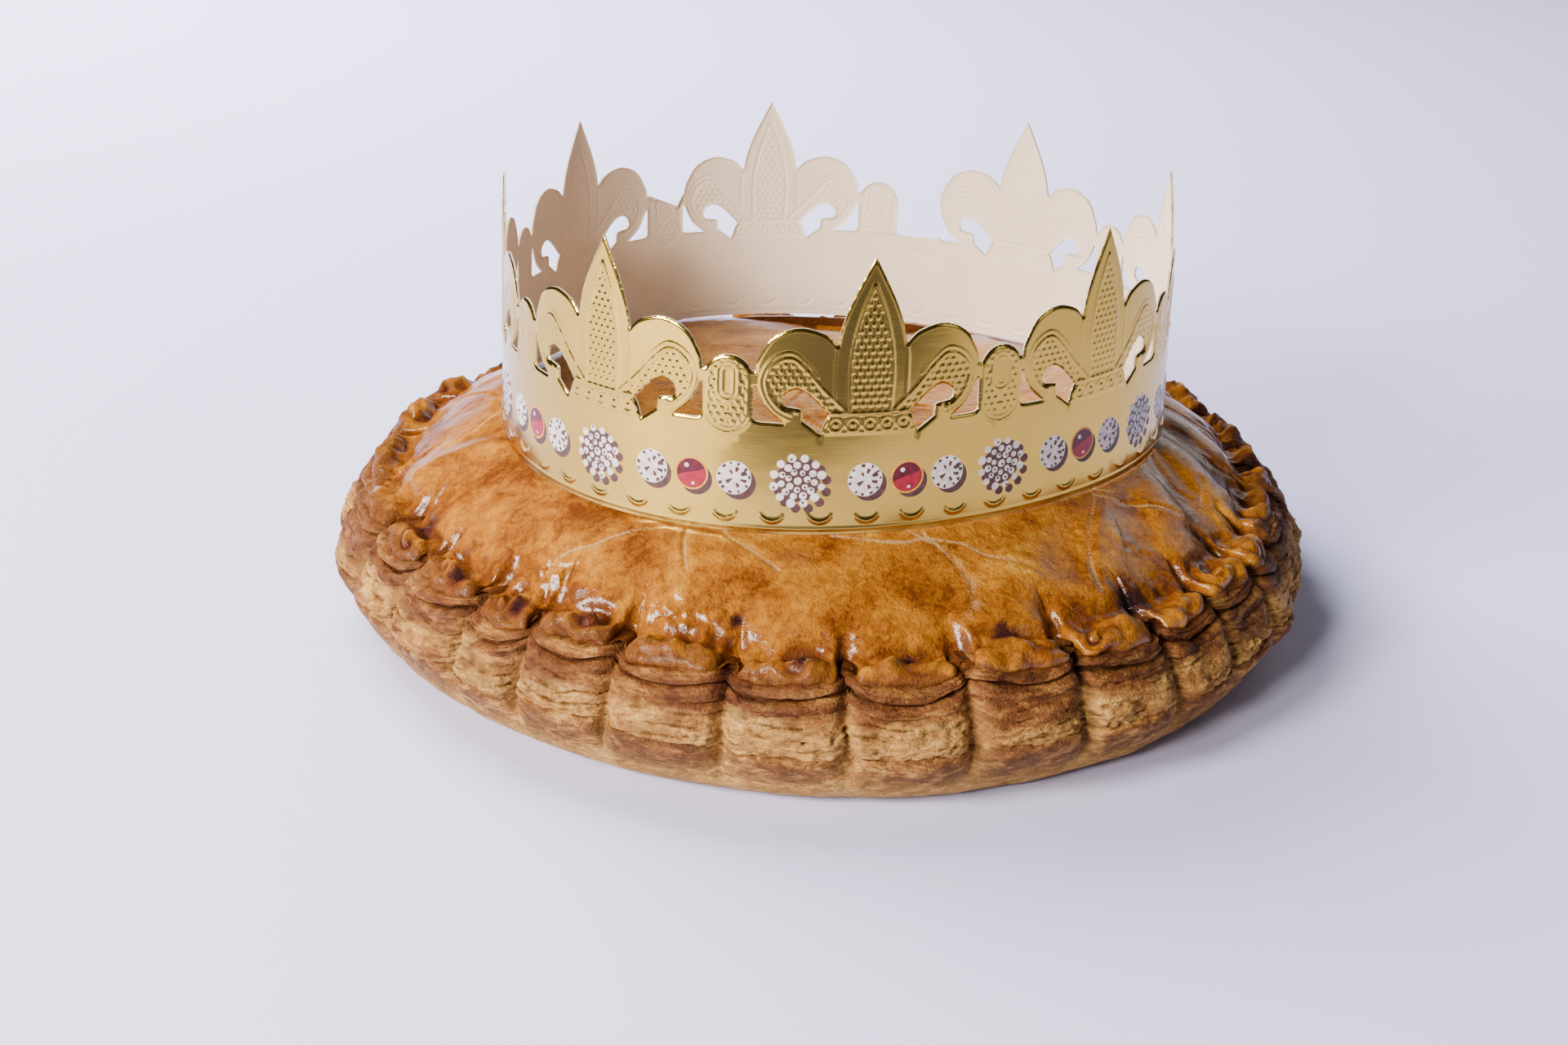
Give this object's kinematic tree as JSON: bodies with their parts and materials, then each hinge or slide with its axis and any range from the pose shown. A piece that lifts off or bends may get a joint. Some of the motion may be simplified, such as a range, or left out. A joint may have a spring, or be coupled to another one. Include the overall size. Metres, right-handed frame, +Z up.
{
  "type": "galette des rois",
  "caption": "Round puffed pastry pie with a lobed, flaky rim and a glazed dome, with the gold card crown of cut-out fleurs-de-lis that rests on it.",
  "frame": {"origin": "centre of the whole object's bounding box, on the surface that the pie stands on", "axes": "+Z up out of the dome; -Y is the front, where a fleur-de-lis stands just right of the middle; +X to the right seen from the front"},
  "size_m": [0.2886, 0.294, 0.1259],
  "materials": {
    "baked_pastry": "egg-glazed baked puff pastry, glossy on the dome and dry and flaky at the rim",
    "gilt_card": "satin gold foil outside, plain warm-white card inside"
  },
  "bodies": {
    "root": {"galette": "baked_pastry", "crown": "gilt_card"}
  },
  "joints": []
}
